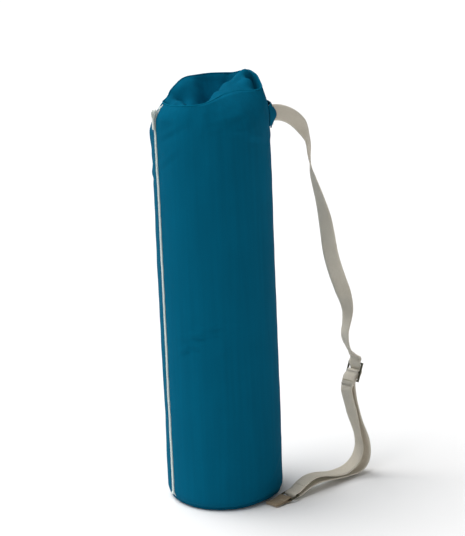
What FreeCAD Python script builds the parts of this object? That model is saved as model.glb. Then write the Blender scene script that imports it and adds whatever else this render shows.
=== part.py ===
import FreeCAD, Part
import math
import os

import Sketcher

# A bolster in a zip-up carry cover, standing on its end.
#
# The frame: the origin is the middle of the round bottom, +Z is up along the cover's axis, and the
# shoulder strap hangs on the +X side. Lengths are in millimetres and angles in degrees.
#
# A piece that sits on the tube's wall is drawn on the +X side of the axis, at its real radius and
# height, and then turned about Z to its own place. The strap and everything on it are drawn in the
# strap's own plane, which stands beside the tube and leans in over it a little.

SIZES = [
    # The sewn cover.
    ("cover_radius", 90.0, "outside of the cover's tube"),
    ("cover_height", 650.0, "floor to the top rim"),
    ("cover_wall", 1.2, "cotton canvas, with its seam allowances"),
    ("rim_rounding", 8.0, "soft edge round the top"),
    ("foot_rounding", 4.0, "soft edge round the bottom"),
    ("top_sag", 30.0, "how far the top panel hangs in below the rim"),
    # The zip, which runs the whole height.
    ("zip_turn", 204.0, "where the zip sits round the tube"),
    ("zip_opening", 10.0, "gap between the folded edges of the cover panel"),
    ("tape_width", 13.0, "each zip tape, from its inner edge to its sewn edge"),
    ("tape_thickness", 0.8, "woven tape"),
    ("tape_parting", 2.8, "gap between the two tapes, under the teeth"),
    ("tape_bottom", 6.0, "height of the lower tape ends"),
    ("tape_top", 641.0, "height of the upper tape ends"),
    ("chain_width", 6.0, "both rows of teeth together"),
    ("chain_thickness", 2.0, "height of the teeth above the tape"),
    ("chain_parting", 0.2, "line between the two rows of teeth"),
    ("chain_bottom", 16.0, "height of the lowest tooth"),
    ("chain_below_rim", 24.0, "from the highest tooth up to the top rim"),
    ("stop_length", 3.5, "top and bottom stops, along the zip"),
    ("slider_width", 9.0, "slider, across the zip"),
    ("slider_length", 12.0, "slider, along the zip"),
    ("slider_plate", 1.2, "each of the slider's two plates"),
    ("slider_clearance", 0.3, "slider to teeth, tape and stops"),
    ("slider_post", 2.2, "diamond that parts the teeth"),
    ("bridge_width", 1.6, "bridge that carries the pull"),
    ("bridge_window", 2.0, "height of the hole under the bridge"),
    ("bridge_reach", 4.2, "half the bridge, along the zip"),
    ("bridge_window_reach", 3.0, "half the hole under the bridge, along the zip"),
    ("pull_length", 24.0, "pull tab, from its bar to its end"),
    ("pull_width", 5.6, "pull tab"),
    ("pull_thickness", 1.3, "pull tab and its bar"),
    # The bolster inside the cover.
    ("core_radius", 85.5, "outside of the inner liner"),
    ("core_below_rim", 48.8, "slack left above the bolster"),
    ("core_rounding", 12.0, "soft ends of the bolster"),
    ("liner_wall", 0.8, "plain cotton liner"),
    # The strap's webbing and where it is sewn on.
    ("web_width", 25.0, "cotton webbing"),
    ("web_thickness", 2.0, "cotton webbing"),
    ("patch_turn", 5.0, "where the upper patch sits round the tube"),
    ("patch_below_rim", 39.0, "from the upper patch's middle up to the top rim"),
    ("patch_width", 34.0, "upper patch, round the tube"),
    ("patch_height", 32.0, "upper patch, without its point"),
    ("patch_point", 9.0, "the point under the patch"),
    ("patch_thickness", 1.5, "folded canvas"),
    ("tack_length", 22.0, "bar tacks that hold the webbing"),
    ("tack_width", 1.6, "bar tacks"),
    ("tack_thickness", 0.5, "bar tacks, above the cloth"),
    # The plane that the strap hangs in.
    ("strap_turn", 40.0, "direction of the strap's plane, from +X towards +Y"),
    ("strap_lean", 4.5, "lean of the strap's plane over the tube"),
    ("strap_offset", 101.0, "from the tube's axis to the strap's plane, on the floor"),
    # The rectangular ring in its sewn tab.
    ("ring_along", 36.0, "place of the ring's inner bar along the strap's plane"),
    ("ring_up", 5.0, "height of the ring's inner bar"),
    ("ring_rise", 10.0, "how far the ring tips up at rest"),
    ("ring_wire", 3.0, "wire of the ring"),
    ("ring_opening", 11.0, "between the ring's two bars"),
    ("fitting_opening", 26.4, "width of the ring and of the slide, inside"),
    ("tab_length", 30.0, "sewn tab, from the ring's inner bar back to its end"),
    # The slide that sets the strap's length.
    ("slide_along", 198.5, "place of the slide's centre bar along the strap's plane"),
    ("slide_up", 167.6, "height of the slide's centre bar"),
    ("slide_turn", 244.5, "direction of the strap through the slide, downwards"),
    ("slide_wire", 3.0, "bars of the slide"),
    ("slide_spacing", 14.0, "centre bar to end bar"),
    ("fold_bend", 9.0, "from the centre bar to where the strap's end fold runs straight"),
    ("fold_length", 24.0, "from the centre bar to the tip of the strap's end fold"),
    ("fold_drop", 8.6, "from the slide's plane to the fold's outer side"),
    ("wire_rounding", 1.3, "rounding of the ring's and the slide's edges"),
    ("eye_clearance", 0.17, "webbing folds to the bar that they hold"),
]

# The strap's route, as points along and up its own plane. One length of webbing makes all three
# runs: it goes from the patch down to the slide, through the slide and on to the ring, round the
# ring's outer bar, and back up to the slide's centre bar.
UPPER_RUN = [
    (62.0, 613.0), (82.0, 612.6), (103.0, 606.0), (123.0, 593.0), (138.5, 575.0),
    (146.5, 552.0), (145.0, 526.0), (148.5, 498.0), (157.0, 468.0), (164.5, 437.0),
    (168.5, 403.0), (170.5, 369.0), (179.0, 334.0), (190.0, 302.0), (197.5, 272.0),
    (192.5, 250.0), (185.0, 232.0), (188.0, 212.0), (198.0, 199.0), (203.2, 192.4),
]
LOWER_RUN = [
    (203.2, 192.4), (206.6, 188.1), (200.7, 182.0), (205.9, 164.1), (188.7, 156.8), (187.7, 148.4),
    (189.3, 133.0), (192.0, 113.0), (196.0, 89.0), (203.0, 63.0), (207.5, 40.0),
    (204.5, 20.0), (191.0, 7.0), (170.0, 3.8), (146.0, 6.5), (120.0, 12.0),
    (94.0, 14.5), (74.0, 10.5), (60.0, 5.0), (52.0, 4.3), (46.6, 4.3),
    (46.6, 10.4), (52.0, 10.4),
]
RETURN_RUN = [
    (52.0, 10.4), (56.0, 10.4), (74.0, 20.0), (93.0, 24.5), (113.0, 21.5),
    (134.0, 15.0), (156.0, 12.5), (177.0, 17.5), (191.5, 29.0), (197.5, 45.0),
    (195.0, 66.0), (189.5, 90.0), (185.0, 113.0), (180.5, 133.0), (179.5, 143.1),
    (182.2, 148.75),
]

doc = FreeCAD.newDocument("bolster")
sheet = doc.addObject("Spreadsheet::Sheet", "sizes")
finished = []


# ---------------------------------------------------------------- driving dimensions

def fill_sheet():
    for row, (alias, value, meaning) in enumerate(SIZES, start=1):
        sheet.set("A%d" % row, alias)
        sheet.set("B%d" % row, repr(value))
        sheet.set("C%d" % row, meaning)
        sheet.setAlias("B%d" % row, alias)
    doc.recompute()


def size(formula):
    """The value of a formula in the sheet's names, such as 'cover_radius - cover_wall'."""
    names = {alias: float(sheet.get(alias)) for alias, _, _ in SIZES}
    total = doc.sizes.evalExpression(with_sheet(formula, names))
    return float(total)


def with_sheet(formula, names=None):
    """The same formula with each of the sheet's names written as sizes.name."""
    words = formula.replace("(", " ( ").replace(")", " ) ").split()
    known = names or {alias for alias, _, _ in SIZES}
    return " ".join("sizes." + word if word in known else word for word in words)


# ---------------------------------------------------------------- sketches and features

def new_body(label):
    body = doc.addObject("PartDesign::Body", label)
    body.Label = label
    return body


def new_sketch(body, plane, offset="0"):
    """A sketch on one of the body's own origin planes, moved along the plane's normal."""
    sketch = body.newObject("Sketcher::SketchObject", body.Label + "_sketch")
    origin_plane = next(f for f in body.Origin.OriginFeatures if f.Role == plane)
    sketch.AttachmentSupport = [(origin_plane, "")]
    sketch.MapMode = "FlatFace"
    sketch.setExpression("AttachmentOffset.Base.z", with_sheet(offset))
    return sketch


def bind(sketch, kind, geometry, point, formula):
    """Holds one coordinate of a sketch point at a formula of the sheet's names."""
    index = sketch.addConstraint(
        Sketcher.Constraint(kind, -1, 1, geometry, point, size(formula))
    )
    sketch.setExpression("Constraints[%d]" % index, with_sheet(formula))


def outline(sketch, corners):
    """A closed outline of straight edges through corners, each a pair of formulas."""
    spots = [FreeCAD.Vector(size(across), size(up), 0) for across, up in corners]
    first = sketch.GeometryCount
    for here, there in zip(spots, spots[1:] + spots[:1]):
        sketch.addGeometry(Part.LineSegment(here, there), False)
    for number, (across, up) in enumerate(corners):
        after = first + (number + 1) % len(corners)
        sketch.addConstraint(Sketcher.Constraint("Coincident", first + number, 2, after, 1))
        bind(sketch, "DistanceX", first + number, 1, across)
        bind(sketch, "DistanceY", first + number, 1, up)


def rectangle(sketch, left, right, low, high):
    outline(sketch, [(left, low), (right, low), (right, high), (left, high)])


def circle(sketch, radius, across="0", up="0"):
    middle = FreeCAD.Vector(size(across), size(up), 0)
    number = sketch.addGeometry(
        Part.Circle(middle, FreeCAD.Vector(0, 0, 1), size(radius)), False
    )
    bind(sketch, "DistanceX", number, 3, across)
    bind(sketch, "DistanceY", number, 3, up)
    index = sketch.addConstraint(Sketcher.Constraint("Radius", number, size(radius)))
    sketch.setExpression("Constraints[%d]" % index, with_sheet(radius))


def pad(body, sketch, length, both_ways=False, cut=False):
    """A pad, or a pocket, along the sketch's normal."""
    feature = body.newObject("PartDesign::Pocket" if cut else "PartDesign::Pad", "feature")
    feature.Profile = sketch
    feature.setExpression("Length", with_sheet(length))
    feature.SideType = "Symmetric" if both_ways else "One side"
    feature.Reversed = cut and not both_ways
    sketch.Visibility = False
    doc.recompute()
    return feature


def edge_names(feature, wanted):
    return [
        "Edge%d" % number
        for number, edge in enumerate(feature.Shape.Edges, start=1)
        if wanted(edge)
    ]


def fillet(body, feature, radius, wanted):
    """Rounds the edges for which wanted(edge) is true."""
    rounding = body.newObject("PartDesign::Fillet", "rounding")
    rounding.Base = (feature, edge_names(feature, wanted))
    rounding.setExpression("Radius", with_sheet(radius))
    doc.recompute()
    return rounding


def at_height(height):
    """Picks the edges that lie flat at one height."""
    return lambda edge: abs(edge.BoundBox.ZMin - height) < 0.01 and edge.BoundBox.ZLength < 0.01


def turn_about_axis(piece, turn):
    """Turns a piece drawn on the +X side to its place round the tube."""
    piece.Placement.Rotation = FreeCAD.Rotation(FreeCAD.Vector(0, 0, 1), size(turn))
    piece.setExpression("Placement.Rotation.Angle", with_sheet(turn))


def finish(piece, label):
    """Names a piece as one of the part's nodes."""
    piece.Label = label
    finished.append(piece)
    return piece


# ---------------------------------------------------------------- the sewn cover

def soft_cylinder(name, radius, low, high, low_rounding, high_rounding):
    """A cylinder on the tube's axis, with rounded ends."""
    body = new_body(name)
    sketch = new_sketch(body, "XY_Plane", low)
    circle(sketch, radius)
    block = pad(body, sketch, "( " + high + " ) - ( " + low + " )")
    rounded = fillet(body, block, high_rounding, at_height(size(high)))
    fillet(body, rounded, low_rounding, at_height(size(low)))
    return body


def make_cover_panel():
    """The one panel that makes the tube, rolled round and open along the zip."""
    outside = soft_cylinder(
        "cover_outside", "cover_radius", "0", "cover_height", "foot_rounding", "rim_rounding"
    )
    inside = soft_cylinder(
        "cover_inside", "cover_radius - cover_wall", "cover_wall", "cover_height - cover_wall",
        "foot_rounding - cover_wall", "rim_rounding - cover_wall",
    )
    shell = doc.addObject("Part::Cut", "cover_shell")
    shell.Base = outside
    shell.Tool = inside
    openings = new_body("cover_openings")
    mouth = new_sketch(openings, "XY_Plane", "-1")
    circle(mouth, "cover_radius - rim_rounding")
    pad(openings, mouth, "cover_height + 2")
    foot = new_sketch(openings, "XY_Plane", "-1")
    circle(foot, "cover_radius - foot_rounding")
    pad(openings, foot, "cover_wall + 1")
    zip_side = new_sketch(openings, "YZ_Plane")
    rectangle(zip_side, "0 - zip_opening / 2", "zip_opening / 2", "-1", "cover_height + 1")
    pad(openings, zip_side, "cover_radius + 1")
    panel = doc.addObject("Part::Cut", "cover_panel")
    panel.Base = shell
    panel.Tool = openings
    turn_about_axis(panel, "zip_turn")
    doc.recompute()
    return finish(panel, "cover_panel")


def make_top_end_panel():
    """A round panel that hangs in below the rim as a shallow bowl."""
    body = new_body("top_end_panel")
    sketch = new_sketch(body, "XZ_Plane")
    edge = "( cover_radius - rim_rounding )"
    bowl = "( " + edge + " * " + edge + " + top_sag * top_sag ) / ( 2 * top_sag )"
    centre = "cover_height - top_sag + " + bowl
    edge_radius, radius, wall = size(edge), size(bowl), size("cover_wall")
    middle = FreeCAD.Vector(0, size(centre), 0)

    def arc(arc_radius):
        sweep = math.asin(edge_radius / arc_radius)
        full = Part.Circle(middle, FreeCAD.Vector(0, 0, 1), arc_radius)
        return Part.ArcOfCircle(full, -math.pi / 2, -math.pi / 2 + sweep)

    upper = sketch.addGeometry(arc(radius), False)
    lower = sketch.addGeometry(arc(radius + wall), False)
    ends = [sketch.getPoint(upper, 1), sketch.getPoint(lower, 1)]
    axis_line = sketch.addGeometry(Part.LineSegment(*ends), False)
    ends = [sketch.getPoint(upper, 2), sketch.getPoint(lower, 2)]
    rim_line = sketch.addGeometry(Part.LineSegment(*ends), False)
    for line, end in ((axis_line, 1), (rim_line, 2)):
        sketch.addConstraint(Sketcher.Constraint("Coincident", line, 1, upper, end))
        sketch.addConstraint(Sketcher.Constraint("Coincident", line, 2, lower, end))
    sketch.addConstraint(Sketcher.Constraint("Coincident", upper, 3, lower, 3))
    bind(sketch, "DistanceX", upper, 3, "0")
    bind(sketch, "DistanceY", upper, 3, centre)
    bind(sketch, "DistanceX", upper, 1, "0")
    bind(sketch, "DistanceX", lower, 1, "0")
    bind(sketch, "DistanceX", upper, 2, edge)
    bind(sketch, "DistanceX", lower, 2, edge)
    for number, formula in ((upper, bowl), (lower, bowl + " + cover_wall")):
        index = sketch.addConstraint(Sketcher.Constraint("Radius", number, size(formula)))
        sketch.setExpression("Constraints[%d]" % index, with_sheet(formula))
    dish = body.newObject("PartDesign::Revolution", "dish")
    dish.Profile = sketch
    dish.ReferenceAxis = (sketch, ["V_Axis"])
    dish.Angle = 360
    doc.recompute()
    return finish(body, "top_end_panel")


def make_bottom_end_panel():
    body = new_body("bottom_end_panel")
    sketch = new_sketch(body, "XY_Plane")
    circle(sketch, "cover_radius - foot_rounding")
    pad(body, sketch, "cover_wall")
    return finish(body, "bottom_end_panel")


# ---------------------------------------------------------------- the bolster inside

def make_core():
    inner_rounding = "core_rounding - liner_wall"
    fill = soft_cylinder(
        "core_fill", "core_radius - liner_wall", "cover_wall + liner_wall",
        "cover_height - core_below_rim - liner_wall", inner_rounding, inner_rounding,
    )
    finish(fill, "core_fill")
    outside = soft_cylinder(
        "liner_outside", "core_radius", "cover_wall", "cover_height - core_below_rim",
        "core_rounding", "core_rounding",
    )
    liner = doc.addObject("Part::Cut", "core_liner")
    liner.Base = outside
    liner.Tool = fill
    doc.recompute()
    finish(liner, "core_liner")


# ---------------------------------------------------------------- pieces on the tube's wall

TAPE_OUTSIDE = "cover_radius - cover_wall"
TAPE_INSIDE = TAPE_OUTSIDE + " - tape_thickness"
CHAIN_TOP = "( cover_height - chain_below_rim )"
CHAIN_OUTSIDE = TAPE_OUTSIDE + " + chain_thickness"


def wall_strip(name, inside, outside, left, right, low, high):
    """A strip that follows the tube: part of a thin ring, cut out between two flat sides.

    left and right are distances round from the strip's middle line, measured straight across.
    """
    ring = new_body(name + "_ring")
    ground = new_sketch(ring, "XY_Plane", low)
    circle(ground, outside)
    circle(ground, inside)
    pad(ring, ground, "( " + high + " ) - ( " + low + " )")
    block = new_body(name + "_block")
    face = new_sketch(block, "YZ_Plane")
    rectangle(face, left, right, low, high)
    pad(block, face, "cover_radius + 20")
    strip = doc.addObject("Part::Common", name)
    strip.Base = ring
    strip.Tool = block
    doc.recompute()
    return strip


def mirror_sides(inner, outer):
    """The two sides of the zip: the names of each side with its left and right limits."""
    return (
        ("left", "0 - ( " + outer + " )", "0 - ( " + inner + " )"),
        ("right", inner, outer),
    )


def make_zip_sides():
    for side, left, right in mirror_sides("tape_parting / 2", "tape_parting / 2 + tape_width"):
        name = "zip_tape_" + side
        tape = wall_strip(name, TAPE_INSIDE, TAPE_OUTSIDE, left, right, "tape_bottom", "tape_top")
        turn_about_axis(tape, "zip_turn")
        finish(tape, name)
    for side, left, right in mirror_sides("chain_parting / 2", "chain_width / 2"):
        name = "zip_teeth_" + side
        teeth = wall_strip(
            name, TAPE_OUTSIDE, CHAIN_OUTSIDE, left, right, "chain_bottom", CHAIN_TOP
        )
        turn_about_axis(teeth, "zip_turn")
        finish(teeth, name)


SLIDER_LOW = "( " + CHAIN_TOP + " - slider_length / 4 )"
SLIDER_HIGH = "( " + SLIDER_LOW + " + slider_length )"
SLIDER_FRONT = "( " + CHAIN_OUTSIDE + " + slider_clearance )"
SLIDER_BACK = "( " + TAPE_INSIDE + " - slider_clearance )"
PULL_BAR_RADIUS = "( " + SLIDER_FRONT + " + slider_plate + bridge_window / 2 )"
PULL_BAR_HEIGHT = "( " + SLIDER_LOW + " + slider_length / 2 )"


def make_zip_stops():
    bottom = wall_strip(
        "zip_bottom_stop", TAPE_OUTSIDE, CHAIN_OUTSIDE + " + slider_clearance",
        "0 - chain_width / 2", "chain_width / 2",
        "chain_bottom - stop_length", "chain_bottom",
    )
    turn_about_axis(bottom, "zip_turn")
    finish(bottom, "zip_bottom_stop")
    low = SLIDER_HIGH + " + slider_clearance"
    sides = [
        wall_strip(
            "zip_top_stop_" + side, TAPE_OUTSIDE, CHAIN_OUTSIDE, left, right,
            low, low + " + stop_length",
        )
        for side, left, right in mirror_sides("tape_parting / 2", "chain_width / 2")
    ]
    pair = doc.addObject("Part::MultiFuse", "zip_top_stops")
    pair.Shapes = sides
    turn_about_axis(pair, "zip_turn")
    doc.recompute()
    finish(pair, "zip_top_stops")


def make_zip_slider():
    body = new_body("zip_slider")
    half = "slider_width / 2"
    post = new_sketch(body, "YZ_Plane", SLIDER_BACK + " - slider_plate")
    rectangle(
        post, "0 - slider_post / 2", "slider_post / 2",
        SLIDER_HIGH + " - slider_length * 0.4", SLIDER_HIGH + " - slider_length * 0.1",
    )
    pad(body, post, SLIDER_FRONT + " - " + SLIDER_BACK + " + 2 * slider_plate")
    for start in (SLIDER_BACK + " - slider_plate", SLIDER_FRONT):
        plate = new_sketch(body, "YZ_Plane", start)
        outline(plate, [
            ("0 - " + half + " + 1.5", SLIDER_LOW), (half + " - 1.5", SLIDER_LOW),
            (half, SLIDER_LOW + " + slider_length / 2"), (half, SLIDER_HIGH + " - 1"),
            (half + " - 1", SLIDER_HIGH), ("0 - " + half + " + 1", SLIDER_HIGH),
            ("0 - " + half, SLIDER_HIGH + " - 1"),
            ("0 - " + half, SLIDER_LOW + " + slider_length / 2"),
        ])
        pad(body, plate, "slider_plate")
    for side, left, right in mirror_sides(
        "chain_width / 2 + slider_clearance", "slider_width / 2"
    ):
        lip = new_sketch(body, "YZ_Plane", TAPE_OUTSIDE + " + slider_clearance")
        rectangle(
            lip, left, right,
            SLIDER_LOW + " + slider_length / 2", SLIDER_HIGH + " - 1",
        )
        pad(body, lip, SLIDER_FRONT + " - ( " + TAPE_OUTSIDE + " + slider_clearance )")
    bridge = new_sketch(body, "YZ_Plane", SLIDER_FRONT + " + slider_plate")
    rectangle(
        bridge, "0 - bridge_width / 2", "bridge_width / 2",
        PULL_BAR_HEIGHT + " - bridge_reach", PULL_BAR_HEIGHT + " + bridge_reach",
    )
    pad(body, bridge, "bridge_window + 1")
    window = new_sketch(body, "XZ_Plane")
    rectangle(
        window, SLIDER_FRONT + " + slider_plate",
        SLIDER_FRONT + " + slider_plate + bridge_window",
        PULL_BAR_HEIGHT + " - bridge_window_reach",
        PULL_BAR_HEIGHT + " + bridge_window_reach",
    )
    pad(body, window, "2 * bridge_width", both_ways=True, cut=True)
    turn_about_axis(body, "zip_turn")
    doc.recompute()
    return finish(body, "zip_slider")


def make_zip_pull():
    body = new_body("zip_pull")
    half = "pull_width / 2"
    sketch = new_sketch(body, "YZ_Plane", PULL_BAR_RADIUS + " - pull_thickness / 2")
    low = PULL_BAR_HEIGHT + " - pull_length"
    outline(sketch, [
        ("0 - " + half + " + 1.2", low), (half + " - 1.2", low),
        (half, low + " + 1.6"), (half, PULL_BAR_HEIGHT),
        ("0 - " + half, PULL_BAR_HEIGHT), ("0 - " + half, low + " + 1.6"),
    ])
    pad(body, sketch, "pull_thickness")
    bar = new_sketch(body, "XZ_Plane")
    circle(bar, "pull_thickness / 2", PULL_BAR_RADIUS, PULL_BAR_HEIGHT)
    pad(body, bar, "pull_width", both_ways=True)
    eye = new_sketch(body, "YZ_Plane", PULL_BAR_RADIUS + " - pull_thickness")
    rectangle(
        eye, "0 - bridge_width / 2 - 0.4", "bridge_width / 2 + 0.4",
        PULL_BAR_HEIGHT + " - bridge_reach - 1.6",
        PULL_BAR_HEIGHT + " - pull_thickness / 2",
    )
    window = pad(body, eye, "2 * pull_thickness", cut=True)
    window.Reversed = True
    turn_about_axis(body, "zip_turn")
    doc.recompute()
    return finish(body, "zip_pull")


PATCH_OUTSIDE = "cover_radius + patch_thickness"
PATCH_MIDDLE = "( cover_height - patch_below_rim )"


def make_anchor_patch():
    """The pointed patch of cover cloth that the strap's upper end is sewn under."""
    ring = new_body("patch_ring")
    ground = new_sketch(ring, "XY_Plane", PATCH_MIDDLE + " - patch_height")
    circle(ground, PATCH_OUTSIDE)
    circle(ground, "cover_radius")
    pad(ring, ground, "2 * patch_height")
    block = new_body("patch_block")
    face = new_sketch(block, "YZ_Plane")
    half = "patch_width / 2"
    high = PATCH_MIDDLE + " + patch_height / 2"
    low = PATCH_MIDDLE + " - patch_height / 2"
    outline(face, [
        ("0 - " + half, high), ("0 - " + half, low), ("0", low + " - patch_point"),
        (half, low), (half, high),
    ])
    pad(block, face, "cover_radius + 20")
    patch = doc.addObject("Part::Common", "strap_anchor_patch")
    patch.Base = ring
    patch.Tool = block
    turn_about_axis(patch, "patch_turn")
    doc.recompute()
    finish(patch, "strap_anchor_patch")

    rows = [
        wall_strip(
            "anchor_tack_" + name, PATCH_OUTSIDE, PATCH_OUTSIDE + " + tack_thickness",
            "0 - tack_length / 2", "tack_length / 2", middle + " - tack_width / 2",
            middle + " + tack_width / 2",
        )
        for name, middle in (
            ("upper", PATCH_MIDDLE + " + patch_height / 2 - 2 * tack_width"),
            ("lower", PATCH_MIDDLE + " - patch_height / 2 + 2 * tack_width"),
        )
    ]
    tacks = doc.addObject("Part::MultiFuse", "anchor_bar_tacks")
    tacks.Shapes = rows
    turn_about_axis(tacks, "patch_turn")
    doc.recompute()
    finish(tacks, "anchor_bar_tacks")


# ---------------------------------------------------------------- the strap's own plane

def strap_plane(along=0.0, up=0.0, turn=0.0):
    """The placement of a frame in the strap's plane.

    Its X lies in the plane, turned up from level by turn; its Z crosses the webbing, away from the
    tube. along and up place its origin in the plane.
    """
    heading, lean = math.radians(size("strap_turn")), math.radians(size("strap_lean"))
    level = FreeCAD.Vector(math.cos(heading), math.sin(heading), 0)
    outward = FreeCAD.Vector(math.sin(heading), -math.cos(heading), 0)
    normal = outward * math.cos(lean) + FreeCAD.Vector(0, 0, math.sin(lean))
    upward = normal.cross(level)
    origin = outward * size("strap_offset") + level * along + upward * up
    angle = math.radians(turn)
    ahead = level * math.cos(angle) + upward * math.sin(angle)
    return FreeCAD.Placement(
        origin, FreeCAD.Rotation(ahead, normal.cross(ahead), normal, "ZXY")
    )


def rounded_path(points, name):
    """Straight runs joined by tangent arcs, each as large as its two runs allow."""
    edge = 0 - size("web_width") / 2
    spots = [FreeCAD.Vector(along, up, edge) for along, up in points]
    edges, radii = [], []
    start = spots[0]
    for before, corner, after in zip(spots, spots[1:], spots[2:]):
        back, ahead = before - corner, after - corner
        reach = 0.45 * min(back.Length, ahead.Length)
        back.normalize()
        ahead.normalize()
        turn = math.pi - back.getAngle(ahead)
        radius = reach / math.tan(turn / 2)
        inward = back + ahead
        inward.normalize()
        centre = corner + inward * (radius / math.cos(turn / 2))
        first, last = corner + back * reach, corner + ahead * reach
        edges.append(("run", start, first))
        edges.append(("bend", first, centre - inward * radius, last, centre, radius))
        radii.append(radius)
        start = last
    edges.append(("run", start, spots[-1]))
    print(name, "bend radii:", " ".join("%.0f" % radius for radius in radii))
    return edges


def beside(start, end, shift):
    """A straight run moved sideways, to its left when shift is positive."""
    side = FreeCAD.Vector(start.y - end.y, end.x - start.x, 0)
    side.normalize()
    return Part.LineSegment(start + side * shift, end + side * shift).toShape()


def flat_band(points, name):
    """A flat band of webbing along a route in the plane, edge-on to the plane."""
    path = rounded_path(points, name)
    half = size("web_thickness") / 2

    def side_edges(shift):
        made = []
        for piece in path:
            if piece[0] == "run":
                made.append(beside(piece[1], piece[2], shift))
                continue
            _, first, middle, last, centre, radius = piece
            left_turn = (first - middle).cross(last - middle).z < 0
            scale = (radius - shift if left_turn else radius + shift) / radius
            ends = [centre + (spot - centre) * scale for spot in (first, middle, last)]
            made.append(Part.Arc(*ends).toShape())
        return made

    left, right = side_edges(half), side_edges(-half)
    caps = [
        Part.makeLine(left[0].firstVertex().Point, right[0].firstVertex().Point),
        Part.makeLine(left[-1].lastVertex().Point, right[-1].lastVertex().Point),
    ]
    outline_wire = Part.Wire(Part.__sortEdges__(left + right + caps))
    width = size("web_width")
    face = Part.Face(outline_wire)
    band = face.extrude(FreeCAD.Vector(0, 0, width))
    length = sum(
        Part.makeLine(p[1], p[2]).Length if p[0] == "run" else Part.Arc(*p[1:4]).length()
        for p in path
    )
    section = width * size("web_thickness")
    print(name, "length %.0f mm, volume / (section x length) %.4f" % (
        length, band.Volume / (section * length)))
    return band


def make_strap():
    plane = strap_plane()
    patch = Part.makeCylinder(size(PATCH_OUTSIDE), size("cover_height"))
    patch.Placement = plane.inverse()
    for name, points in (
        ("strap_upper_run", UPPER_RUN),
        ("strap_lower_run", LOWER_RUN),
        ("strap_return_run", RETURN_RUN),
    ):
        band = flat_band(points, name)
        if name == "strap_upper_run":
            band = band.cut(patch)
        run = doc.addObject("Part::Feature", name)
        run.Shape = band
        run.Placement = plane
        finish(run, name)


def wire_frame(label, bars, thickness, reach):
    """A flat frame of square wire with rounded edges, lying in its own XZ plane.

    bars are the places of its cross bars along X, and reach is half its opening along Z.
    """
    body = new_body(label)
    flat = new_sketch(body, "XZ_Plane")
    half = thickness + " / 2"
    rectangle(
        flat, "( " + bars[0] + " ) - " + half, "( " + bars[-1] + " ) + " + half,
        "0 - " + reach + " - " + thickness, reach + " + " + thickness,
    )
    made = pad(body, flat, thickness, both_ways=True)
    for before, after in zip(bars, bars[1:]):
        opening = new_sketch(body, "XZ_Plane")
        rectangle(
            opening, "( " + before + " ) + " + half, "( " + after + " ) - " + half,
            "0 - " + reach, reach,
        )
        made = pad(body, opening, "2 * " + thickness, both_ways=True, cut=True)
    fillet(body, made, "wire_rounding", lambda edge: edge.BoundBox.YLength < 0.01)
    return body


def make_ring():
    body = wire_frame(
        "strap_ring", ["0", "ring_opening + ring_wire"], "ring_wire", "fitting_opening / 2"
    )
    body.Placement = strap_plane(size("ring_along"), size("ring_up"), size("ring_rise"))
    return finish(body, "strap_ring")


def make_slide():
    body = wire_frame(
        "strap_slide", ["0 - slide_spacing", "0", "slide_spacing"], "slide_wire",
        "fitting_opening / 2",
    )
    body.Placement = strap_plane(size("slide_along"), size("slide_up"), size("slide_turn"))
    return finish(body, "strap_slide")


def corner_radius(wire):
    """From the middle of a square wire to its rounded corners."""
    return "( " + wire + " * 0.7072 - 0.4142 * wire_rounding )"


def make_end_fold():
    """The strap's end, folded round the slide's centre bar, with its two layers sewn together."""
    body = new_body("strap_end_fold")
    hole = corner_radius("slide_wire") + " + eye_clearance"
    outer = hole + " + web_thickness"
    eye = new_sketch(body, "XY_Plane")
    circle(eye, outer)
    pad(body, eye, "web_width", both_ways=True)
    tail = new_sketch(body, "XY_Plane")
    outline(tail, [
        ("0", "0 - ( " + outer + " )"), ("fold_bend", "0 - fold_drop"),
        ("fold_length", "0 - fold_drop"), ("fold_length", "2 * web_thickness - fold_drop"),
        ("fold_bend + 0.5", "2 * web_thickness - fold_drop"),
        ("web_thickness + 1.2", "0 - web_thickness"),
    ])
    pad(body, tail, "web_width", both_ways=True)
    bar = new_sketch(body, "XY_Plane")
    circle(bar, hole)
    pad(body, bar, "2 * web_width", both_ways=True, cut=True)
    body.Placement = strap_plane(size("slide_along"), size("slide_up"), size("slide_turn"))
    finish(body, "strap_end_fold")

    rows = new_body("strap_end_tack")
    row = new_sketch(rows, "XY_Plane")
    middle = "fold_length * 2 / 3"
    rectangle(
        row, middle + " - tack_width / 2", middle + " + tack_width / 2",
        "0 - fold_drop - tack_thickness", "0 - fold_drop",
    )
    pad(rows, row, "tack_length", both_ways=True)
    rows.Placement = strap_plane(size("slide_along"), size("slide_up"), size("slide_turn"))
    finish(rows, "strap_end_tack")


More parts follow.
